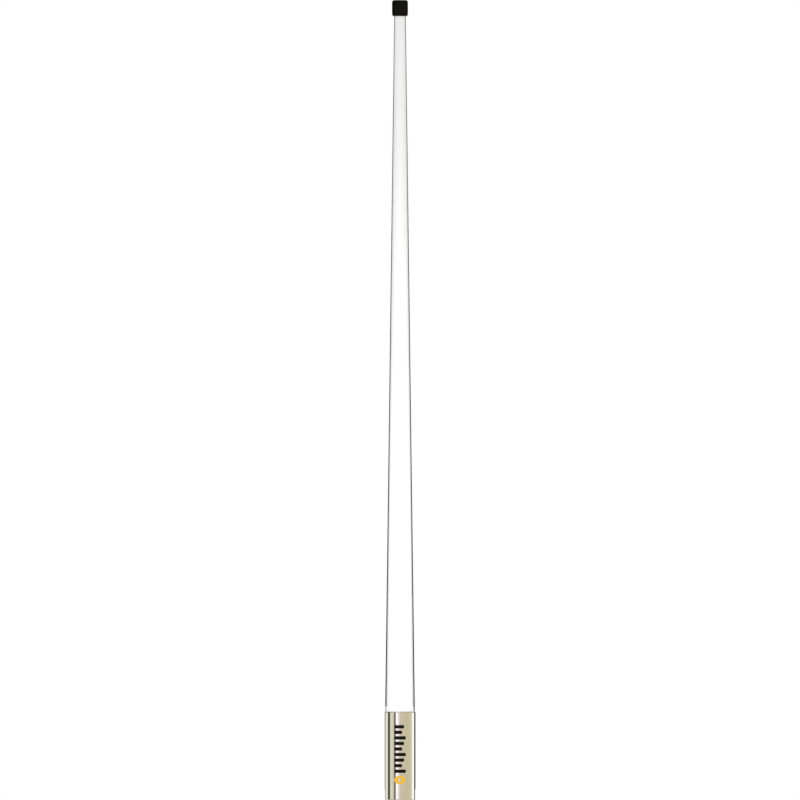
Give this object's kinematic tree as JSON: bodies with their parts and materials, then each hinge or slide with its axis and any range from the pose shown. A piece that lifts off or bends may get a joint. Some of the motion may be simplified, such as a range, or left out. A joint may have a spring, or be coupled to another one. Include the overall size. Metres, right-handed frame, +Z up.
{
  "type": "omnidirectional antenna",
  "caption": "Slim tapered white fibreglass whip antenna with a polished metal mast ferrule at the foot and a black push-on cap at the tip.",
  "frame": {"origin": "centre of the ferrule's bottom face, on the antenna's axis", "axes": "+Z up along the antenna towards its cap, -Y towards the front that carries the marking"},
  "size_m": [0.039, 0.0395, 1],
  "materials": {
    "polished_steel": "polished",
    "white_gelcoat": "satin",
    "black_plastic": "satin",
    "clear_silicone": "satin",
    "black_ink": "satin",
    "amber_ink": "satin",
    "nickel_plate": "gloss",
    "gold_plate": "gloss",
    "white_ptfe": "satin",
    "black_rubber": "matte",
    "black_pvc": "satin",
    "polyethylene": "satin",
    "tinned_braid": "satin",
    "copper": "satin",
    "brass": "satin",
    "epoxy": "satin",
    "ferrite": "matte",
    "shrink_tube": "satin",
    "grey_foam": "matte"
  },
  "bodies": {
    "antenna": {"bead_shrink_sleeve": "shrink_tube", "choke_end_disc": "brass", "choke_sleeve": "brass", "coax_braid": "tinned_braid", "coax_conductor": "copper", "coax_dielectric": "polyethylene", "coax_jacket": "black_pvc", "coil_former_1": "white_ptfe", "coil_former_2": "white_ptfe", "coil_former_3": "white_ptfe", "crimp_sleeve": "nickel_plate", "feed_insulator": "white_ptfe", "ferrite_bead_1": "ferrite", "ferrite_bead_2": "ferrite", "ferrite_bead_3": "ferrite", "ferrule": "polished_steel", "foam_spacer_1": "grey_foam", "foam_spacer_2": "grey_foam", "foam_spacer_3": "grey_foam", "foam_spacer_4": "grey_foam", "foam_spacer_5": "grey_foam", "foam_spacer_6": "grey_foam", "jack_body": "nickel_plate", "jack_contact": "gold_plate", "jack_insulator": "white_ptfe", "jack_nut": "nickel_plate", "jack_o_ring": "black_rubber", "jack_washer": "nickel_plate", "marking_badge": "amber_ink", "marking_bars": "black_ink", "phasing_coil_1": "copper", "phasing_coil_2": "copper", "phasing_coil_3": "copper", "potting_plug": "epoxy", "radiator_1": "brass", "radiator_2": "brass", "radiator_3": "brass", "radiator_4": "brass", "radome_tube": "white_gelcoat", "rim_sealant": "clear_silicone", "tip_plug": "grey_foam"},
    "cap": {"end_cap": "black_plastic"}
  },
  "joints": [
    {"name": "cap_pull", "type": "slide", "parent": "antenna", "child": "cap", "axis": [0, 0, 1], "range_m": [0, 0.016]}
  ]
}
